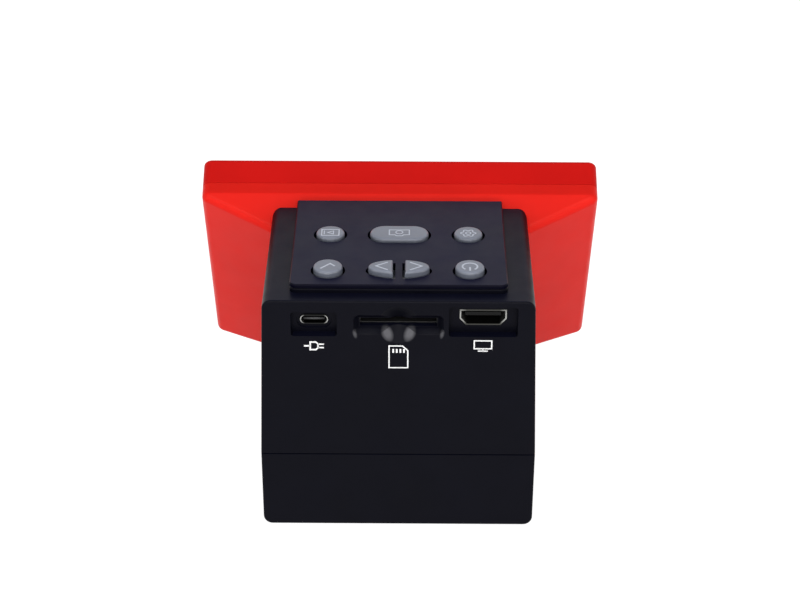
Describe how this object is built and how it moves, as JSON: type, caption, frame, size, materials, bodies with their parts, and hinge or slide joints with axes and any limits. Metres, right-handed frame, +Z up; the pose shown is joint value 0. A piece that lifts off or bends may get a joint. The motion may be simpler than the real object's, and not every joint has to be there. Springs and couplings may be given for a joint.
{
  "type": "film negative scanner",
  "caption": "Desktop film and slide scanner with a leaning screen, a raised key plate on top, plug and card sockets at the back and a film insert that slides out sideways.",
  "frame": {"origin": "centre of the footprint's bounding box, in the plane that the feet stand on", "axes": "+X to the right of a user who faces the screen, +Y from the screen towards the rear face with the sockets, +Z up"},
  "size_m": [0.1362, 0.1232, 0.0955],
  "materials": {
    "shell_plastic": "fine satin grain",
    "plate_plastic": "satin",
    "red_plastic": "soft gloss",
    "cover_glass": "polished",
    "display_panel": "dark, switched off",
    "sheet_steel": "plated",
    "circuit_board": "solder mask",
    "ribbon": "smooth film",
    "black_plastic": "moulded",
    "barrel_metal": "anodised black",
    "lens_glass": "coated",
    "sensor": "polished",
    "insert_plastic": "satin",
    "white_plastic": "moulded",
    "white_board": "white solder mask",
    "led": "moulded",
    "diffuser_sheet": "frosted",
    "foot_rubber": "matt",
    "screw_steel": "zinc plated",
    "key_plastic": "satin grey",
    "plunger_plastic": "moulded"
  },
  "bodies": {
    "scanner": {"upper_shell": "shell_plastic", "lower_shell": "shell_plastic", "key_frame": "shell_plastic", "key_plate": "plate_plastic", "socket_frame": "shell_plastic", "screen_rear_shell": "red_plastic", "screen_bezel": "red_plastic", "cover_glass": "cover_glass", "display_panel": "display_panel", "display_tray": "sheet_steel", "display_board": "circuit_board", "display_ribbon": "ribbon", "key_board": "circuit_board", "key_switches": "black_plastic", "key_ribbon": "ribbon", "main_board": "circuit_board", "main_chips": "black_plastic", "usb_socket": "sheet_steel", "usb_tongue": "black_plastic", "hdmi_socket": "sheet_steel", "hdmi_tongue": "black_plastic", "card_socket": "black_plastic", "card_socket_cover": "sheet_steel", "lens_tower": "black_plastic", "lens_holder": "black_plastic", "lens_barrel": "barrel_metal", "lens_elements": "lens_glass", "image_sensor": "sensor", "camera_board": "circuit_board", "camera_ribbon": "ribbon", "light_box": "white_plastic", "backlight_board": "white_board", "backlight_leds": "led", "diffuser": "diffuser_sheet", "feet": "foot_rubber", "body_screws": "screw_steel", "screen_screws": "screw_steel", "board_screws": "screw_steel", "tower_screws": "screw_steel"},
    "playback_button": {"playback_key": "key_plastic", "playback_plunger": "plunger_plastic"},
    "capture_button": {"capture_key": "key_plastic", "capture_plunger": "plunger_plastic"},
    "settings_button": {"settings_key": "key_plastic", "settings_plunger": "plunger_plastic"},
    "confirm_button": {"confirm_key": "key_plastic", "confirm_plunger": "plunger_plastic"},
    "right_button": {"right_key": "key_plastic", "right_plunger": "plunger_plastic"},
    "left_button": {"left_key": "key_plastic", "left_plunger": "plunger_plastic"},
    "power_button": {"power_key": "key_plastic", "power_plunger": "plunger_plastic"},
    "film_insert": {"film_insert": "insert_plastic"}
  },
  "joints": [
    {"name": "playback_press", "type": "slide", "parent": "scanner", "child": "playback_button", "axis": [0, 0, -1], "range_m": [0, 0.0005], "stiffness_N_per_m": 1000, "springref_m": -0.0005},
    {"name": "capture_press", "type": "slide", "parent": "scanner", "child": "capture_button", "axis": [0, 0, -1], "range_m": [0, 0.0005], "stiffness_N_per_m": 1000, "springref_m": -0.0005},
    {"name": "settings_press", "type": "slide", "parent": "scanner", "child": "settings_button", "axis": [0, 0, -1], "range_m": [0, 0.0005], "stiffness_N_per_m": 1000, "springref_m": -0.0005},
    {"name": "confirm_press", "type": "slide", "parent": "scanner", "child": "confirm_button", "axis": [0, 0, -1], "range_m": [0, 0.0005], "stiffness_N_per_m": 1000, "springref_m": -0.0005},
    {"name": "right_press", "type": "slide", "parent": "scanner", "child": "right_button", "axis": [0, 0, -1], "range_m": [0, 0.0005], "stiffness_N_per_m": 1000, "springref_m": -0.0005},
    {"name": "left_press", "type": "slide", "parent": "scanner", "child": "left_button", "axis": [0, 0, -1], "range_m": [0, 0.0005], "stiffness_N_per_m": 1000, "springref_m": -0.0005},
    {"name": "power_press", "type": "slide", "parent": "scanner", "child": "power_button", "axis": [0, 0, -1], "range_m": [0, 0.0005], "stiffness_N_per_m": 1000, "springref_m": -0.0005},
    {"name": "insert_slide", "type": "slide", "parent": "scanner", "child": "film_insert", "axis": [1, 0, 0], "range_m": [0, 0.06]}
  ]
}
